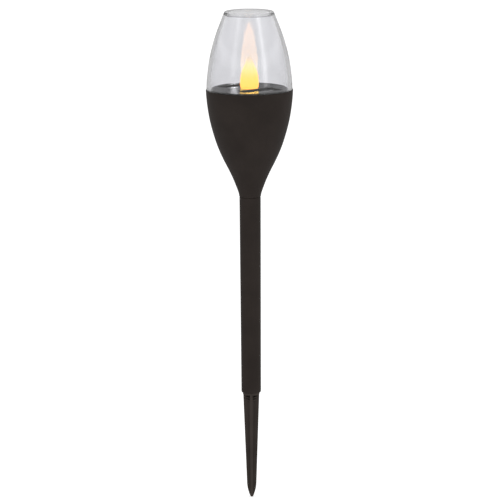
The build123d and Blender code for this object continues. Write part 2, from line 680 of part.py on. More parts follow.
with BuildPart() as circuit_board:
    with BuildSketch(Plane.XY.offset(BOARD_BOTTOM)):
        RectangleRounded(BOARD_LENGTH, BOARD_WIDTH, 1.0)
        with GridLocations(2 * POST_X, 0, 2, 1):
            Circle(BOARD_SCREW_RADIUS + SCREW_HOLE_GAP, mode=Mode.SUBTRACT)
        with GridLocations(LED_PITCH, 0, 2, 1):
            Circle(LEAD_WIDTH * 0.8, mode=Mode.SUBTRACT)
        with Locations(*lying_spots, *standing_spots):
            Circle(COMPONENT_LEAD / 2 + FIT_GAP, mode=Mode.SUBTRACT)
    extrude(amount=BOARD_THICKNESS)
finish(circuit_board, "circuit_board")

with BuildPart() as component_leads:
    with BuildSketch(Plane.XY.offset(BOARD_BOTTOM - LEAD_END)):
        with Locations(*standing_spots):
            Circle(COMPONENT_LEAD / 2)
    extrude(amount=LEAD_END + BOARD_THICKNESS + STAND_OFF)
    for _, spot, length, radius, _ in lying_bodies:
        axis_height = BOARD_TOP + STAND_OFF + radius
        for lead_side in (-1, 1):
            body_end = spot[0] + lead_side * length / 2
            with BuildLine():
                lead = FilletPolyline(
                    (body_end, spot[1], axis_height),
                    (body_end + lead_side * LEAD_REACH, spot[1], axis_height),
                    (body_end + lead_side * LEAD_REACH, spot[1], BOARD_BOTTOM - LEAD_END),
                    radius=LEAD_BEND,
                )
            with BuildSketch(Plane(lead @ 0, z_dir=lead % 0)):
                Circle(COMPONENT_LEAD / 2)
            sweep(path=lead)
finish(component_leads, "component_leads")

for body_name, spot, length, radius, end_round in lying_bodies:
    with BuildPart() as lying_body:
        with BuildSketch(Plane.YZ.offset(spot[0] - length / 2)):
            with Locations((spot[1], BOARD_TOP + STAND_OFF + radius)):
                Circle(radius)
        extrude(amount=length)
        fillet(lying_body.edges().filter_by(GeomType.CIRCLE), radius=end_round)
    finish(lying_body, body_name)

with BuildPart() as capacitor:
    with Locations((*CAPACITOR_SPOT, BOARD_TOP + STAND_OFF)):
        Cylinder(CAPACITOR_RADIUS, CAPACITOR_HEIGHT, align=BOTTOM)
    fillet(capacitor.edges().group_by(Axis.Z)[-1], radius=0.3)
finish(capacitor, "capacitor")

with BuildPart() as driver_chip:
    with Locations((*CHIP_SPOT, BOARD_TOP + STAND_OFF)):
        Box(*CHIP_SIZE, align=BOTTOM)
    chamfer(driver_chip.edges().filter_by(Axis.Z).group_by(Axis.Y)[-1], length=0.5)
finish(driver_chip, "driver_chip")


def cross_recess(head_bottom, head_radius):
    """A cross recess in the underside of a screw's head."""
    with Locations((0, 0, head_bottom)):
        Box(1.3 * head_radius, CROSS_WIDTH, CROSS_DEPTH, align=BOTTOM, mode=Mode.SUBTRACT)
        Box(CROSS_WIDTH, 1.3 * head_radius, CROSS_DEPTH, align=BOTTOM, mode=Mode.SUBTRACT)


with BuildPart() as board_screws:
    with GridLocations(2 * POST_X, 0, 2, 1):
        with Locations((0, 0, BOARD_BOTTOM)):
            Cylinder(BOARD_SCREW_HEAD_RADIUS, BOARD_SCREW_HEAD, align=TOP)
            Cylinder(BOARD_SCREW_RADIUS, BOARD_SCREW_LENGTH, align=BOTTOM)
        cross_recess(BOARD_BOTTOM - BOARD_SCREW_HEAD, BOARD_SCREW_HEAD_RADIUS)
finish(board_screws, "board_screws")

with BuildPart() as tray_screws:
    with PolarLocations(SCREW_CIRCLE, SCREW_COUNT):
        with Locations((0, 0, FLANGE_BOTTOM - TRAY_BOSS_WEB)):
            Cylinder(SCREW_HEAD_RADIUS, SCREW_HEAD, align=TOP)
            Cylinder(SCREW_RADIUS, SCREW_LENGTH, align=BOTTOM)
        cross_recess(FLANGE_BOTTOM - TRAY_BOSS_WEB - SCREW_HEAD, SCREW_HEAD_RADIUS)
finish(tray_screws, "tray_screws")

# ---------------------------------------------------------------- slide switch
with BuildPart() as switch_body:
    with Locations((0, SWITCH_Y, TRAY_FLOOR + FLOOR_THICKNESS)):
        Box(SWITCH_LENGTH, SWITCH_WIDTH, SWITCH_HEIGHT, align=BOTTOM)
        Box(
            SWITCH_TRAVEL + LEVER_SIZE + 2 * LEVER_GAP,
            LEVER_SIZE + 2 * LEVER_GAP,
            LEVER_HEAD + LEVER_GAP,
            align=BOTTOM,
            mode=Mode.SUBTRACT,
        )
finish(switch_body, "switch_body")

# At rest the lever stands at the slot's -X end, switched on.
with BuildPart() as switch_slider:
    with Locations((-SWITCH_TRAVEL / 2, SWITCH_Y, TRAY_FLOOR - LEVER_PROUD)):
        Box(LEVER_SIZE, LEVER_SIZE, LEVER_PROUD + FLOOR_THICKNESS + LEVER_HEAD, align=BOTTOM)
    chamfer(switch_slider.edges().group_by(Axis.Z)[0], length=0.25)
finish(switch_slider, "switch_slider")

with BuildPart() as switch_terminals:
    with GridLocations(TERMINAL_PITCH, 0, 3, 1):
        with Locations((0, SWITCH_Y, SWITCH_TOP)):
            Box(*TERMINAL_SIZE, align=BOTTOM)
finish(switch_terminals, "switch_terminals")

# ---------------------------------------------------------------- rechargeable cell and contacts
with BuildPart() as battery_cell:
    with BuildSketch(Plane.YZ.offset(CELL_END - CELL_BODY_LENGTH)):
        with Locations((CELL_Y, CELL_Z)):
            Circle(CELL_RADIUS)
    extrude(amount=CELL_BODY_LENGTH)
    with BuildSketch(Plane.YZ.offset(CELL_END)):
        with Locations((CELL_Y, CELL_Z)):
            Circle(NUB_RADIUS)
    extrude(amount=NUB_LENGTH)
finish(battery_cell, "battery_cell")

with BuildPart() as battery_sleeve:
    with BuildSketch(Plane.YZ.offset(CELL_END - CELL_BODY_LENGTH + SLEEVE_BARE)):
        with Locations((CELL_Y, CELL_Z)):
            Circle(CELL_RADIUS + SLEEVE_THICKNESS)
            Circle(CELL_RADIUS, mode=Mode.SUBTRACT)
    extrude(amount=CELL_BODY_LENGTH - 2 * SLEEVE_BARE)
finish(battery_sleeve, "battery_sleeve")

for contact_name, contact_side in (("positive", 1), ("negative", -1)):
    plate_x = contact_side * (BAY_END - CONTACT_THICKNESS / 2)
    with BuildPart() as contact_plate:
        with Locations((plate_x, CELL_Y, CELL_Z)):
            Box(CONTACT_THICKNESS, CONTACT_WIDTH, CONTACT_WIDTH)
        with Locations((plate_x, CELL_Y, CELL_Z)):
            Box(CONTACT_THICKNESS, TAB_WIDTH, TAB_TOP - CELL_Z, align=BOTTOM)
    finish(contact_plate, f"{contact_name}_contact")

with BuildPart() as contact_spring:
    with BuildLine():
        coil = Helix(
            SPRING_PITCH,
            SPRING_SPACE - SPRING_WIRE,
            SPRING_RADIUS,
            center=(SPRING_WIRE / 2 - CONTACT_FACE, CELL_Y, CELL_Z),
            direction=(1, 0, 0),
        )
    with BuildSketch(Plane(coil @ 0, z_dir=coil % 0)):
        Circle(SPRING_WIRE / 2)
    sweep(path=coil, is_frenet=True)
finish(contact_spring, "contact_spring")

# ---------------------------------------------------------------- wires
def wire_route(start, pad):
    """A wire up from start, over a crest and down on to the board at pad."""
    return [(*start[:2], start[2]), (*start[:2], WIRE_CREST), (*pad, WIRE_CREST), (*pad, BOARD_TOP)]


def battery_route(side):
    """The wire of one battery contact."""
    tab_end = (side * (BAY_END - CONTACT_THICKNESS / 2), CELL_Y, TAB_TOP)
    return wire_route(tab_end, (side * BATTERY_PAD[0], BATTERY_PAD[1]))


for wire_name, wire_side in (("red", 1), ("black", -1)):
    with BuildPart() as power_wires:
        with BuildLine():
            lead = FilletPolyline(*battery_route(wire_side), radius=WIRE_BEND)
        with BuildSketch(Plane(lead @ 0, z_dir=lead % 0)):
            Circle(WIRE_DIAMETER / 2)
        sweep(path=lead)
        with BuildSketch(Plane.XY.offset(BOARD_TOP)):
            with Locations((wire_side * PANEL_WIRE_X, 0)):
                with GridLocations(0, 2 * PANEL_WIRE_Y, 1, 2):
                    Circle(WIRE_DIAMETER / 2)
        extrude(amount=PANEL_BOTTOM - BOARD_TOP)
    finish(power_wires, f"{wire_name}_wires")

with BuildPart() as switch_wires:
    for terminal_x in (-TERMINAL_PITCH, 0.0):
        terminal = (terminal_x, SWITCH_Y, SWITCH_TOP + TERMINAL_SIZE[2])
        with BuildLine():
            lead = FilletPolyline(*wire_route(terminal, (terminal_x, SWITCH_PAD_Y)), radius=WIRE_BEND)
        with BuildSketch(Plane(lead @ 0, z_dir=lead % 0)):
            Circle(WIRE_DIAMETER / 2)
        sweep(path=lead)
finish(switch_wires, "switch_wires")
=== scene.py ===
import json
import math

import bmesh
import bpy
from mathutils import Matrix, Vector


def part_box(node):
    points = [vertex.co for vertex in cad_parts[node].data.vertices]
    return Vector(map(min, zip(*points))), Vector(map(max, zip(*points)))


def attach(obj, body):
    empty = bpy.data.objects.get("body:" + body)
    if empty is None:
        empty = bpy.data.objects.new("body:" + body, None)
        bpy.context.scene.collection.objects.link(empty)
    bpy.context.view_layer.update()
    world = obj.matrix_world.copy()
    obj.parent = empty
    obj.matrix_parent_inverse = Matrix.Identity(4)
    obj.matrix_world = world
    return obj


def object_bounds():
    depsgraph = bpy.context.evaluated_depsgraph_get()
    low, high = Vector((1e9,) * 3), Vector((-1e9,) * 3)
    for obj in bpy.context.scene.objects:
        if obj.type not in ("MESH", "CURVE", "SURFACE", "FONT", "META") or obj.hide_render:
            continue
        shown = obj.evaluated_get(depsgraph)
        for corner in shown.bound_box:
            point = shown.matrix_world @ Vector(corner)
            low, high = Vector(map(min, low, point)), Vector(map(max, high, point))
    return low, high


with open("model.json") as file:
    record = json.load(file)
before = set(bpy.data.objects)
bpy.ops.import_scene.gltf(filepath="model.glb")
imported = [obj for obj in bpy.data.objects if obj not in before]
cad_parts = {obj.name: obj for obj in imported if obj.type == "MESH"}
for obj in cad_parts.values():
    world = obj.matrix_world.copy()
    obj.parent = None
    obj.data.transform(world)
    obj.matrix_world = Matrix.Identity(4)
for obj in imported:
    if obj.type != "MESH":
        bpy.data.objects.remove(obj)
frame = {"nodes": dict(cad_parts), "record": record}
cad_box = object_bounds()
nodes = frame["nodes"]
scene = bpy.context.scene

MM = 0.001
WELD_DISTANCE = 0.001 * MM  # points nearer than this are one corner
LEVEL_TOLERANCE = 0.05 * MM  # how far from a height a point still counts as on it


# ---------------------------------------------------------------- node helpers
BEVEL_SAMPLES = 4
WORN_FACING = 0.86  # how far a rounded normal agrees with the flat one where an edge is rubbed bare
UNWORN_FACING = 0.995  # and where it isn't rubbed at all


def new_material(name):
    """An empty material with its Principled shader."""
    material = bpy.data.materials.new(name)
    material.use_nodes = True
    tree = material.node_tree
    tree.nodes.clear()
    output = tree.nodes.new("ShaderNodeOutputMaterial")
    shader = tree.nodes.new("ShaderNodeBsdfPrincipled")
    tree.links.new(shader.outputs["BSDF"], output.inputs["Surface"])
    return material, tree, shader


def material_output(tree):
    """The output node of a material's tree."""
    return next(node for node in tree.nodes if node.type == "OUTPUT_MATERIAL")


def choose_shader(tree, choice, ordinary, other):
    """Make the surface the ordinary shader where choice is 0 and the other one where it is 1."""
    mixed = tree.nodes.new("ShaderNodeMixShader")
    for source, socket in zip((choice, ordinary, other), mixed.inputs):
        tree.links.new(source, socket)
    tree.links.new(mixed.outputs["Shader"], material_output(tree).inputs["Surface"])


def object_coordinates(tree, scale=(1, 1, 1)):
    """Object coordinates in metres, stretched by scale."""
    coordinates = tree.nodes.new("ShaderNodeTexCoord")
    mapping = tree.nodes.new("ShaderNodeMapping")
    mapping.inputs["Scale"].default_value = scale
    tree.links.new(coordinates.outputs["Object"], mapping.inputs["Vector"])
    return mapping.outputs["Vector"]


def noise(tree, vector, grain, detail=3.0, roughness=0.5):
    """Noise whose features are about grain metres wide."""
    texture = tree.nodes.new("ShaderNodeTexNoise")
    texture.inputs["Scale"].default_value = 1 / grain
    texture.inputs["Detail"].default_value = detail
    texture.inputs["Roughness"].default_value = roughness
    tree.links.new(vector, texture.inputs["Vector"])
    return texture.outputs["Fac"]


def ramp(tree, factor, stops):
    """A colour ramp through (position, colour) stops. A colour may be one grey level."""
    node = tree.nodes.new("ShaderNodeValToRGB")
    elements = node.color_ramp.elements
    while len(elements) < len(stops):
        elements.new(0.5)
    for element, (position, colour) in zip(elements, stops):
        element.position = position
        level = colour if isinstance(colour, tuple) else (colour, colour, colour)
        element.color = (*level, 1)
    tree.links.new(factor, node.inputs["Fac"])
    return node.outputs["Color"]


def mix_colour(tree, factor, first, second, blend="MIX"):
    """Mix two colours, each a socket or an RGB tuple."""
    node = tree.nodes.new("ShaderNodeMix")
    node.data_type = "RGBA"
    node.blend_type = blend
    for name, value in (("Factor", factor), ("A", first), ("B", second)):
        socket = node.inputs[name]
        if isinstance(value, tuple):
            socket.default_value = (*value, 1)
        elif isinstance(value, (int, float)):
            socket.default_value = value
        else:
            tree.links.new(value, socket)
    return node.outputs["Result"]


def math_node(tree, operation, first, second):
    """A math node on sockets or numbers."""
    node = tree.nodes.new("ShaderNodeMath")
    node.operation = operation
    for socket, value in zip(node.inputs, (first, second)):
        if isinstance(value, (int, float)):
            socket.default_value = value
        else:
            tree.links.new(value, socket)
    return node.outputs["Value"]


def bump(tree, shader, height, depth, strength=1.0):
    """Bump of depth metres on the shader from a height socket."""
    node = tree.nodes.new("ShaderNodeBump")
    node.inputs["Strength"].default_value = strength
    node.inputs["Distance"].default_value = depth
    tree.links.new(height, node.inputs["Height"])
    tree.links.new(node.outputs["Normal"], shader.inputs["Normal"])


def edge_wear(tree, radius):
    """A mask that is bright within radius of an edge, where a rounded normal leaves the flat one."""
    bevel = tree.nodes.new("ShaderNodeBevel")
    bevel.samples = BEVEL_SAMPLES
    bevel.inputs["Radius"].default_value = radius
    geometry = tree.nodes.new("ShaderNodeNewGeometry")
    dot = tree.nodes.new("ShaderNodeVectorMath")
    dot.operation = "DOT_PRODUCT"
    tree.links.new(bevel.outputs["Normal"], dot.inputs[0])
    tree.links.new(geometry.outputs["Normal"], dot.inputs[1])
    return ramp(tree, dot.outputs["Value"], ((WORN_FACING, 1.0), (UNWORN_FACING, 0.0)))


def scaled(colour, factor):
    """A colour made lighter or darker."""
    return tuple(min(1.0, channel * factor) for channel in colour)


def place(tree):
    """The object coordinates X, Y and Z in metres, as three sockets."""
    split = tree.nodes.new("ShaderNodeSeparateXYZ")
    tree.links.new(object_coordinates(tree), split.inputs["Vector"])
    return split.outputs["X"], split.outputs["Y"], split.outputs["Z"]


def repeated(tree, value, start, pitch):
    """How far value is through its period, from 0 to 1, in periods of pitch from start."""
    periods = math_node(tree, "DIVIDE", math_node(tree, "SUBTRACT", value, start), pitch)
    return math_node(tree, "FRACT", periods, 0)


def band(tree, value, centre, width):
    """1 where value lies within width around centre, else 0."""
    node = tree.nodes.new("ShaderNodeMath")
    node.operation = "COMPARE"
    tree.links.new(value, node.inputs[0])
    node.inputs[1].default_value = centre
    node.inputs[2].default_value = width / 2
    return node.outputs["Value"]


def scratches(tree, grain, stretch):
    """A mask of fine hair lines: the peaks of a noise stretched along the lines."""
    lines = noise(tree, object_coordinates(tree, stretch), grain, 1)
    return ramp(tree, lines, ((0.66, 0.0), (0.72, 1.0)))


# ---------------------------------------------------------------- mesh helpers
def solids(node):
    """The corners of each separate solid of a CAD node, as lists of points."""
    mesh = bmesh.new()
    mesh.from_mesh(nodes[node].data)
    bmesh.ops.remove_doubles(mesh, verts=mesh.verts, dist=WELD_DISTANCE)
    unseen = set(mesh.verts)
    found = []
    while unseen:
        island = [unseen.pop()]
        for vertex in island:
            for edge in vertex.link_edges:
                neighbour = edge.other_vert(vertex)
                if neighbour in unseen:
                    unseen.remove(neighbour)
                    island.append(neighbour)
        found.append([vertex.co.copy() for vertex in island])
    mesh.free()
    return found


def solid_boxes(node):
    """The boxes of a node's separate solids, in the order of their X."""
    boxes = []
    for points in solids(node):
        columns = list(zip(*points))
        lowest = Vector([min(column) for column in columns])
        highest = Vector([max(column) for column in columns])
        boxes.append((lowest, highest))
    return sorted(boxes, key=lambda corners: corners[0].x)


def ends_at(node, height):
    """The middle of each solid's points at a height, for the solids that have any there."""
    middles = []
    for points in solids(node):
        level = [point for point in points if abs(point.z - height) < LEVEL_TOLERANCE]
        if level:
            middles.append(sum(level, Vector()) / len(level))
    return sorted(middles, key=lambda point: (point.x, point.y))


def ring(mesh, centre, radius, height, steps):
    """A level ring of new vertices around centre, or a single one where the radius is 0."""
    turns = [2 * math.pi * step / steps for step in range(steps)] if radius else [0.0]
    offsets = [Vector((radius * math.cos(turn), radius * math.sin(turn), height)) for turn in turns]
    return [mesh.verts.new(centre + offset) for offset in offsets]


def revolved(name, places, profile, slot, body, steps=24):
    """One piece of equal shapes, each a (radius, height) profile turned about the vertical."""
    mesh = bmesh.new()
    for centre in places:
        rings = [ring(mesh, centre, radius, height, steps) for radius, height in profile]
        for lower, upper in zip(rings, rings[1:]):
            for step in range(steps):
                corners = [lower[step % len(lower)], lower[(step + 1) % len(lower)]]
                corners += [upper[(step + 1) % len(upper)], upper[step % len(upper)]]
                mesh.faces.new(list(dict.fromkeys(corners)))
    bmesh.ops.recalc_face_normals(mesh, faces=mesh.faces)
    for face in mesh.faces:
        face.smooth = True
    data = bpy.data.meshes.new(name)
    mesh.to_mesh(data)
    mesh.free()
    piece = bpy.data.objects.new(name, data)
    scene.collection.objects.link(piece)
    data.materials.append(MATERIALS[slot])
    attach(piece, body)


# ---------------------------------------------------------------- materials
# The colour bands' paints
BROWN = (0.10, 0.035, 0.015)
BLACK = (0.01, 0.01, 0.01)
RED = (0.45, 0.02, 0.02)
GOLD = (0.45, 0.28, 0.06)
SILVER = (0.45, 0.45, 0.45)
BAND_WIDTH = 0.6 * MM

# Sizes of the patterns in the plastics
CLOUD_SIZE = 22 * MM
FLOW_MARK_SIZE = 3 * MM
SCRATCH_SIZE_Y = 0.5 * MM  # of the scratches that run along Y
SCRATCH_SIZE_X = 0.6 * MM  # and along X
SCRATCH_ROUGHNESS = 0.12
WEAR_RADIUS = 0.35 * MM
WEAR_BRIGHTNESS = 2.6
MOULD_WAVE_SIZE = 14 * MM
HAZE_SIZE = 5 * MM

# The solar cells' silver lines and crystals
BUSBAR_WIDTH = 0.9 * MM
FINGER_PITCH = 1.1 * MM
FINGER_WIDTH = 0.12 * MM
CRYSTAL_SIZE = 1.6 * MM

# The circuit board's tracks
TRACK_PITCH = 9.0 * MM
TRACK_WIDTH = 0.03  # of the pitch
TRACK_PATCH_SIZE = 6 * MM

# The capacitor's bare top and the stripe down its sleeve
BARE_TOP = 0.25 * MM
STRIPE_WIDTH = 0.45 * MM

# The flame's colour from its foot, at 0, to its tip, at 1: as it is seen, and in reflections
FLAME_LOOK = (
    (0.0, (2.9, 0.98, 0.12)),
    (0.35, (2.9, 1.02, 0.20)),
    (0.6, (2.9, 1.06, 0.36)),
    (0.8, (2.2, 1.04, 0.56)),
    (0.9, (1.08, 0.92, 0.71)),
    (1.0, (1.06, 0.89, 0.77)),
)
FLAME_RADIANCE = ((0.0, (7.2, 4.4, 0.7)), (0.3, (5.0, 2.9, 0.6)), (1.0, (5.0, 2.7, 0.9)))


def moulded_plastic(name, colour, roughness, grain=0.35 * MM, depth=0.012 * MM, specular=0.5, wear=0.25):
    """Moulded plastic: fine texture, faint flow marks, hair scratches and lighter rubbed edges."""
    material, tree, shader = new_material(name)
    vector = object_coordinates(tree)
    cloud = noise(tree, vector, CLOUD_SIZE, 4)
    flow = noise(tree, object_coordinates(tree, (1, 1, 0.12)), FLOW_MARK_SIZE, 3)
    fine = noise(tree, vector, grain, 2)
    base = ramp(tree, cloud, ((0.35, scaled(colour, 0.9)), (0.68, scaled(colour, 1.12))))
    rubbed = math_node(tree, "MULTIPLY", edge_wear(tree, WEAR_RADIUS), wear)
    shader_colour = mix_colour(tree, rubbed, base, scaled(colour, WEAR_BRIGHTNESS))
    tree.links.new(shader_colour, shader.inputs["Base Color"])
    clouds = math_node(tree, "MULTIPLY", cloud, 0.6)
    uneven = math_node(tree, "ADD", clouds, math_node(tree, "MULTIPLY", flow, 0.4))
    smoothness = ramp(tree, uneven, ((0.3, roughness - 0.05), (0.7, roughness + 0.06)))
    along_y = scratches(tree, SCRATCH_SIZE_Y, (1, 0.06, 0.9))
    along_x = scratches(tree, SCRATCH_SIZE_X, (0.07, 1, 0.8))
    marks = math_node(tree, "MULTIPLY", math_node(tree, "MAXIMUM", along_y, along_x), SCRATCH_ROUGHNESS)
    tree.links.new(math_node(tree, "ADD", smoothness, marks), shader.inputs["Roughness"])
    shader.inputs["Specular IOR Level"].default_value = specular
    bump(tree, shader, fine, depth)
    return material


def clear_plastic(name, tint, ior, roughness, density=0.0):
    """Clear moulded plastic with slight waves from the mould. Its density dims what shines through."""
    material, tree, shader = new_material(name)
    if density:
        absorption = tree.nodes.new("ShaderNodeVolumeAbsorption")
        absorption.inputs["Color"].default_value = (0.0, 0.0, 0.0, 1)
        absorption.inputs["Density"].default_value = density
        tree.links.new(absorption.outputs["Volume"], material_output(tree).inputs["Volume"])
    vector = object_coordinates(tree)
    waves = noise(tree, vector, MOULD_WAVE_SIZE, 2)
    base = ramp(tree, waves, ((0.3, scaled(tint, 0.99)), (0.7, tint)))
    tree.links.new(base, shader.inputs["Base Color"])
    shader.inputs["Transmission Weight"].default_value = 1.0
    shader.inputs["IOR"].default_value = ior
    haze = noise(tree, vector, HAZE_SIZE, 4)
    hazy = ramp(tree, haze, ((0.4, roughness), (0.75, roughness + 0.015)))
    tree.links.new(hazy, shader.inputs["Roughness"])
    bump(tree, shader, waves, 0.05 * MM, 0.25)
    return material


def glowing_flame(name):
    """Translucent yellow diffuser lit from inside: brightest low down, paler and dimmer at the tip.

    A picture can't show how bright it is, so its reflections get its real, greater brightness.
    """
    material, tree, shader = new_material(name)
    low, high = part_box("flame_diffuser")
    _, _, z = place(tree)
    span = tree.nodes.new("ShaderNodeMapRange")
    span.inputs["From Min"].default_value = low.z
    span.inputs["From Max"].default_value = high.z
    tree.links.new(z, span.inputs["Value"])
    mottle = noise(tree, object_coordinates(tree), 2.5 * MM, 3)
    uneven = ramp(tree, mottle, ((0.3, 0.95), (0.7, 1.0)))
    glow = mix_colour(tree, 1.0, ramp(tree, span.outputs["Result"], FLAME_LOOK), uneven, "MULTIPLY")
    tree.links.new(glow, shader.inputs["Emission Color"])
    shader.inputs["Emission Strength"].default_value = 1.0
    shader.inputs["Base Color"].default_value = (0.22, 0.13, 0.02, 1)
    tree.links.new(ramp(tree, mottle, ((0.3, 0.3), (0.7, 0.42))), shader.inputs["Roughness"])
    bump(tree, shader, mottle, 0.02 * MM, 0.4)
    reflected = tree.nodes.new("ShaderNodeEmission")
    tree.links.new(ramp(tree, span.outputs["Result"], FLAME_RADIANCE), reflected.inputs["Color"])
    paths = tree.nodes.new("ShaderNodeLightPath")
    choose_shader(
        tree, paths.outputs["Is Reflection Ray"], shader.outputs["BSDF"], reflected.outputs["Emission"]
    )
    return material


def brushed_metal(name, colour, roughness):
    """Plated metal with fine drawing lines and faint tarnish."""
    material, tree, shader = new_material(name)
    vector = object_coordinates(tree)
    tarnish = noise(tree, vector, 4 * MM, 4)
    lines = noise(tree, object_coordinates(tree, (0.05, 1, 1)), 0.15 * MM, 2)
    base = ramp(tree, tarnish, ((0.35, scaled(colour, 0.8)), (0.65, colour)))
    tree.links.new(base, shader.inputs["Base Color"])
    shader.inputs["Metallic"].default_value = 1.0
    tree.links.new(
        ramp(tree, lines, ((0.3, roughness - 0.08), (0.7, roughness + 0.1))), shader.inputs["Roughness"]
    )
    bump(tree, shader, lines, 0.004 * MM, 0.5)
    return material


def silicon_cells(name):
    """Dark crystalline silicon with a silver busbar down each cell and fine fingers across it."""
    material, tree, shader = new_material(name)
    x, y, _ = place(tree)
    cells = solid_boxes("solar_cells_front")
    start, end = cells[0][0].x, cells[0][1].x
    pitch = cells[1][0].x - start
    busbar = band(tree, repeated(tree, x, start, pitch), (end - start) / 2 / pitch, BUSBAR_WIDTH / pitch)
    fingers = band(tree, repeated(tree, y, 0.0, FINGER_PITCH), 0.5, FINGER_WIDTH / FINGER_PITCH)
    silver = math_node(tree, "MAXIMUM", busbar, fingers)
    crystals = tree.nodes.new("ShaderNodeTexVoronoi")
    crystals.inputs["Scale"].default_value = 1 / CRYSTAL_SIZE
    tree.links.new(object_coordinates(tree), crystals.inputs["Vector"])
    grey = tree.nodes.new("ShaderNodeRGBToBW")
    tree.links.new(crystals.outputs["Color"], grey.inputs["Color"])
    dark_crystal, pale_crystal = (0.010, 0.009, 0.014), (0.020, 0.016, 0.024)
    silicon = ramp(tree, grey.outputs["Val"], ((0.2, dark_crystal), (0.8, pale_crystal)))
    tree.links.new(mix_colour(tree, silver, silicon, (0.42, 0.41, 0.40)), shader.inputs["Base Color"])
    tree.links.new(silver, shader.inputs["Metallic"])
    polish = ramp(tree, grey.outputs["Val"], ((0.2, 0.22), (0.8, 0.34)))
    tree.links.new(polish, shader.inputs["Roughness"])
    bump(tree, shader, silver, 0.02 * MM)
    return material


def solder_mask(name):
    """Green lacquered board with copper tracks showing through as lighter lines."""
    material, tree, shader = new_material(name)
    vector = object_coordinates(tree)
    tracks = tree.nodes.new("ShaderNodeTexBrick")
    tracks.offset = 0.37
    tracks.squash = 0.6
    tracks.inputs["Scale"].default_value = 1 / TRACK_PITCH
    tracks.inputs["Mortar Size"].default_value = TRACK_WIDTH
    tracks.inputs["Mortar Smooth"].default_value = 0.1
    tree.links.new(vector, tracks.inputs["Vector"])
    weave = noise(tree, vector, 0.6 * MM, 2)
    lacquer = ramp(tree, weave, ((0.35, (0.008, 0.085, 0.030)), (0.65, (0.011, 0.105, 0.038))))
    routed = ramp(tree, noise(tree, vector, TRACK_PATCH_SIZE, 1), ((0.48, 0.0), (0.5, 1.0)))
    copper = math_node(tree, "MULTIPLY", tracks.outputs["Fac"], routed)
    colour = mix_colour(tree, copper, lacquer, (0.025, 0.150, 0.050))
    tree.links.new(colour, shader.inputs["Base Color"])
    tree.links.new(ramp(tree, weave, ((0.3, 0.24), (0.7, 0.34))), shader.inputs["Roughness"])
    bump(tree, shader, copper, 0.035 * MM)
    return material


def banded_lacquer(name, node, colour, bands):
    """A lacquered body that lies along X, with narrow colour bands at (place from 0 to 1, colour)."""
    material, tree, shader = new_material(name)
    low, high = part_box(node)
    x, _, _ = place(tree)
    dust = noise(tree, object_coordinates(tree), 0.8 * MM, 3)
    painted = ramp(tree, dust, ((0.3, scaled(colour, 0.85)), (0.7, scaled(colour, 1.1))))
    for position, band_colour in bands:
        mask = band(tree, x, low.x + position * (high.x - low.x), BAND_WIDTH)
        painted = mix_colour(tree, mask, painted, band_colour)
    tree.links.new(painted, shader.inputs["Base Color"])
    tree.links.new(ramp(tree, dust, ((0.3, 0.22), (0.7, 0.38))), shader.inputs["Roughness"])
    bump(tree, shader, dust, 0.02 * MM)
    return material


def sleeved_can(name):
    """An aluminium can in a dark blue sleeve with a pale stripe down one side, bare on top."""
    material, tree, shader = new_material(name)
    low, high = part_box("capacitor")
    x, _, z = place(tree)
    top = math_node(tree, "GREATER_THAN", z, high.z - BARE_TOP)
    stripe = math_node(tree, "LESS_THAN", x, low.x + STRIPE_WIDTH)
    dust = noise(tree, object_coordinates(tree), 1.0 * MM, 3)
    sleeve = ramp(tree, dust, ((0.3, (0.008, 0.012, 0.035)), (0.7, (0.012, 0.018, 0.05))))
    sleeve = mix_colour(tree, stripe, sleeve, (0.45, 0.46, 0.50))
    tree.links.new(mix_colour(tree, top, sleeve, (0.70, 0.70, 0.72)), shader.inputs["Base Color"])
    tree.links.new(top, shader.inputs["Metallic"])
    tree.links.new(ramp(tree, dust, ((0.3, 0.22), (0.7, 0.36))), shader.inputs["Roughness"])
    bump(tree, shader, dust, 0.01 * MM)
    return material


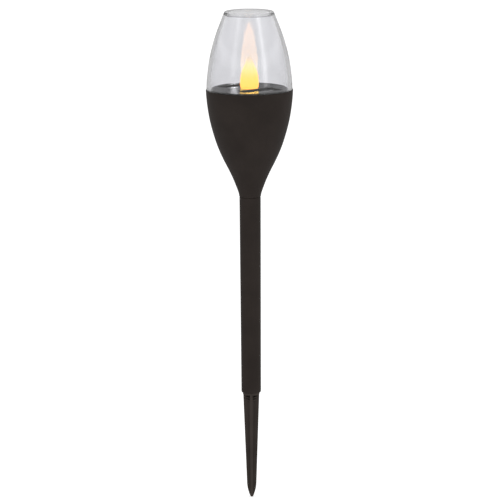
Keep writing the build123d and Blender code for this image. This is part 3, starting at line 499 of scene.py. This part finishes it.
MATERIALS = {
    "dark_plastic": moulded_plastic("dark_plastic", (0.0238, 0.0187, 0.0163), 0.55, specular=0.06),
    # A paler copy of the body plastic for the stake: painted light, not a different plastic.
    "stake_plastic_painted_light": moulded_plastic("stake_plastic_painted_light", (0.0400, 0.0325, 0.0285), 0.55, specular=0.06),
    "deck_plastic": moulded_plastic(
        "deck_plastic", (0.008, 0.0072, 0.0073), 0.06, specular=0.010, depth=0.003 * MM, wear=0.1
    ),
    "tray_plastic": moulded_plastic("tray_plastic", (0.028, 0.028, 0.028), 0.5),
    "holder_plastic": moulded_plastic("holder_plastic", (0.02, 0.02, 0.02), 0.45),
    "switch_lever": moulded_plastic("switch_lever", (0.02, 0.02, 0.02), 0.4),
    "chip_body": moulded_plastic("chip_body", (0.02, 0.02, 0.02), 0.55),
    "seal_rubber": moulded_plastic("seal_rubber", (0.02, 0.02, 0.02), 0.75, grain=0.6 * MM),
    "panel_board": moulded_plastic("panel_board", (0.012, 0.012, 0.014), 0.45),
    "circuit_board": solder_mask("circuit_board"),
    "inductor_body": banded_lacquer(
        "inductor_body",
        "inductor",
        (0.05, 0.24, 0.13),
        ((0.25, BROWN), (0.42, BLACK), (0.59, BROWN), (0.8, SILVER)),
    ),
    "resistor_body": banded_lacquer(
        "resistor_body",
        "resistor",
        (0.52, 0.36, 0.19),
        ((0.22, RED), (0.4, RED), (0.58, BROWN), (0.8, GOLD)),
    ),
    "battery_sleeve": moulded_plastic("battery_sleeve", (0.03, 0.27, 0.10), 0.28),
    "red_wire": moulded_plastic("red_wire", (0.5, 0.02, 0.02), 0.4),
    "black_wire": moulded_plastic("black_wire", (0.015, 0.015, 0.015), 0.4),
    "white_wire": moulded_plastic("white_wire", (0.7, 0.69, 0.66), 0.4),
    "solar_cell": silicon_cells("solar_cell"),
    "clear_shade": clear_plastic("clear_shade", (0.872, 0.872, 0.893), 1.59, 0.0, density=20.0),
    "panel_epoxy": clear_plastic("panel_epoxy", (0.95, 0.93, 0.93), 1.15, 0.08),
    "led_epoxy": clear_plastic("led_epoxy", (0.95, 0.85, 0.55), 1.5, 0.05),
    "flame_plastic": glowing_flame("flame_plastic"),
    "capacitor_can": sleeved_can("capacitor_can"),
    "zinc_steel": brushed_metal("zinc_steel", (0.60, 0.60, 0.62), 0.35),
    "switch_housing": brushed_metal("switch_housing", (0.66, 0.66, 0.67), 0.3),
    "tinned_metal": brushed_metal("tinned_metal", (0.72, 0.72, 0.72), 0.3),
    "nickel_can": brushed_metal("nickel_can", (0.68, 0.68, 0.68), 0.25),
    "spring_wire": brushed_metal("spring_wire", (0.70, 0.69, 0.66), 0.25),
}

for subpart in frame["record"]["subparts"]:
    piece = nodes[subpart["node"]]
    piece.data.materials.clear()
    piece.data.materials.append(MATERIALS[subpart["material_slot"]])
# The stake gets a paler copy of the body plastic: painted light, standing in for the stronger light that
# falls on it low down.
nodes["ground_stake"].data.materials[0] = MATERIALS["stake_plastic_painted_light"]

# ---------------------------------------------------------------- solder
board_low, board_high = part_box("circuit_board")
# Outlines of a joint on the board and of a bead on a metal tab, as (radius, height) in millimetres
SOLDER_CONE = ((0.95, 0.0), (0.8, 0.1), (0.5, 0.3), (0.36, 0.6), (0.3, 0.95), (0.0, 1.05))
SOLDER_BEAD = ((0.0, -0.5), (0.45, -0.42), (0.72, -0.1), (0.7, 0.25), (0.5, 0.5), (0.0, 0.55))


def in_metres(profile, flip=1):
    """A profile in millimetres turned to metres, upside down where flip is -1."""
    return [(radius * MM, flip * height * MM) for radius, height in profile]


lead_ends = []
for leads in ("component_leads", "led_leads"):
    lead_ends += ends_at(leads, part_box(leads)[0].z)
for point in lead_ends:
    point.z = board_low.z
revolved("lead_solder", lead_ends, in_metres(SOLDER_CONE, -1), "tinned_metal", "light_module")

wire_ends = []
for wires in ("red_wires", "black_wires", "switch_wires"):
    wire_ends += ends_at(wires, board_high.z)
revolved("wire_solder", wire_ends, in_metres(SOLDER_CONE), "tinned_metal", "light_module")

tab_ends = []
for contact, wires in (("positive_contact", "red_wires"), ("negative_contact", "black_wires")):
    tab_ends += ends_at(wires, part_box(contact)[1].z)
tab_ends += ends_at("switch_wires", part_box("switch_terminals")[1].z)
revolved("tab_solder", tab_ends, in_metres(SOLDER_BEAD), "tinned_metal", "light_module")

# ---------------------------------------------------------------- floor, light and camera
# The sky's brightness, against the sine of the height above the horizon
SKY = ((0.0, 0.7), (0.1, 0.55), (0.17, 1.2), (0.22, 1.2), (0.3, 0.5), (0.45, 0.8), (1.0, 0.9))
FLOOR_SIDE = 30.0
FLOOR_GREY = 0.86
FLOOR_GLOW = 0.41
FLOOR_MIRRORED = 0.72
low, high = cad_box
floor_mesh = bpy.data.meshes.new("floor")
half = FLOOR_SIDE / 2
floor_corners = [(x * half, y * half, low[2]) for x, y in ((-1, -1), (1, -1), (1, 1), (-1, 1))]
floor_mesh.from_pydata(floor_corners, [], [(0, 1, 2, 3)])
floor = bpy.data.objects.new("floor", floor_mesh)
scene.collection.objects.link(floor)
floor_material, floor_tree, floor_shader = new_material("floor")
floor_shader.inputs["Base Color"].default_value = (FLOOR_GREY, FLOOR_GREY, FLOOR_GREY, 1)
floor_shader.inputs["Roughness"].default_value = 1.0
floor_shader.inputs["Specular IOR Level"].default_value = 0.0
floor_shader.inputs["Emission Color"].default_value = (1, 1, 1, 1)
floor_shader.inputs["Emission Strength"].default_value = FLOOR_GLOW

# In reflections the floor is greyer, as it would be if it were no wider than the view.
mirrored = floor_tree.nodes.new("ShaderNodeEmission")
mirrored.inputs["Color"].default_value = (FLOOR_MIRRORED, FLOOR_MIRRORED, FLOOR_MIRRORED, 1)
floor_paths = floor_tree.nodes.new("ShaderNodeLightPath")
after_reflection = math_node(floor_tree, "GREATER_THAN", floor_paths.outputs["Glossy Depth"], 0.5)
choose_shader(floor_tree, after_reflection, floor_shader.outputs["BSDF"], mirrored.outputs["Emission"])
floor_mesh.materials.append(floor_material)

world = bpy.data.worlds.new("studio")
scene.world = world
world.use_nodes = True
sky = world.node_tree
sky_coordinates = sky.nodes.new("ShaderNodeTexCoord")
sky_split = sky.nodes.new("ShaderNodeSeparateXYZ")
sky.links.new(sky_coordinates.outputs["Generated"], sky_split.inputs["Vector"])
sky_light = ramp(sky, sky_split.outputs["Z"], SKY)
sky.links.new(sky_light, sky.nodes["Background"].inputs["Color"])


def direction(azimuth, elevation):
    """The unit vector towards an azimuth, in degrees from the front, and an elevation in degrees."""
    turn, rise = math.radians(azimuth), math.radians(elevation)
    return Vector((math.sin(turn) * math.cos(rise), -math.cos(turn) * math.cos(rise), math.sin(rise)))


def softbox(name, target, azimuth, elevation, distance, size, radiance, swell):
    """A rectangular light aimed at target, its brightness across its width following swell."""
    light = bpy.data.lights.new(name, "AREA")
    light.shape = "RECTANGLE"
    light.size, light.size_y = size
    light.energy = radiance * math.pi * size[0] * size[1]
    light.use_nodes = True
    tree = light.node_tree
    geometry = tree.nodes.new("ShaderNodeNewGeometry")
    split = tree.nodes.new("ShaderNodeSeparateXYZ")
    tree.links.new(geometry.outputs["Parametric"], split.inputs["Vector"])
    tree.links.new(ramp(tree, split.outputs["X"], swell), tree.nodes["Emission"].inputs["Strength"])
    lamp = bpy.data.objects.new(name, light)
    scene.collection.objects.link(lamp)
    away = direction(azimuth, elevation)
    lamp.location = target + away * distance
    lamp.rotation_euler = away.to_track_quat("Z", "Y").to_euler()
    return lamp


# Brightness across a light's width
SOFT = ((0.0, 0.0), (0.2, 0.2), (0.42, 1.0), (0.58, 1.0), (0.8, 0.2), (1.0, 0.0))
WIDE = ((0.0, 0.0), (0.3, 0.6), (0.5, 1.0), (0.7, 0.6), (1.0, 0.0))
SOFTBOX_DISTANCE = 1.8
SOFTBOX_SIZE = (1.0, 1.4)
KEY_AZIMUTH = 12
KEY_ELEVATION = 25
KEY_RADIANCE = 1.9
FILL_AZIMUTH = -80
FILL_ELEVATION = 30
FILL_RADIANCE = 0.9
middle = Vector((0, 0, (low[2] + high[2]) / 2))
softbox("key", middle, KEY_AZIMUTH, KEY_ELEVATION, SOFTBOX_DISTANCE, SOFTBOX_SIZE, KEY_RADIANCE, SOFT)
softbox("fill", middle, FILL_AZIMUTH, FILL_ELEVATION, SOFTBOX_DISTANCE, SOFTBOX_SIZE, FILL_RADIANCE, SOFT)

CAMERA_AZIMUTH = -33.0
CAMERA_ELEVATION = 11.0
CAMERA_DISTANCE = 3.0
CAMERA_ROLL = 0.34
LENS = 242.7
AIM_ABOVE_MIDDLE = 6.5 * MM
AIM_LEFT = 0.36 * MM
camera_data = bpy.data.cameras.new("camera")
camera_data.lens = LENS
camera_data.sensor_width = 36.0
camera_data.clip_start = 0.1
camera_data.clip_end = 100.0
camera = bpy.data.objects.new("camera", camera_data)
scene.collection.objects.link(camera)
left = direction(CAMERA_AZIMUTH - 90, 0)
camera_aim = middle + Vector((0, 0, AIM_ABOVE_MIDDLE)) + left * AIM_LEFT
camera.location = middle + direction(CAMERA_AZIMUTH, CAMERA_ELEVATION) * CAMERA_DISTANCE
camera.rotation_euler = (camera.location - camera_aim).to_track_quat("Z", "Y").to_euler()
camera.rotation_euler.rotate_axis("Z", math.radians(-CAMERA_ROLL))
scene.camera = camera

# A small strip light behind the head draws the soft line that the glossy deck shows beside the flame.
STRIP_BEHIND = 300 * MM
STRIP_LEFT = 24.5 * MM
STRIP_ELEVATION = 9.0
STRIP_SIZE = (18 * MM, 40 * MM)
STRIP_RADIANCE = 0.08
STRIP_SPREAD = 20.0
deck_middle = Vector((0, 0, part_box("top_deck")[1].z))
strip_aim = deck_middle + left * STRIP_LEFT
strip_azimuth = CAMERA_AZIMUTH + 180
strip = softbox(
    "strip", strip_aim, strip_azimuth, STRIP_ELEVATION, STRIP_BEHIND, STRIP_SIZE, STRIP_RADIANCE, WIDE
)
strip.data.spread = math.radians(STRIP_SPREAD)
strip.visible_camera = False
strip.visible_diffuse = False

scene.view_settings.view_transform = "Standard"
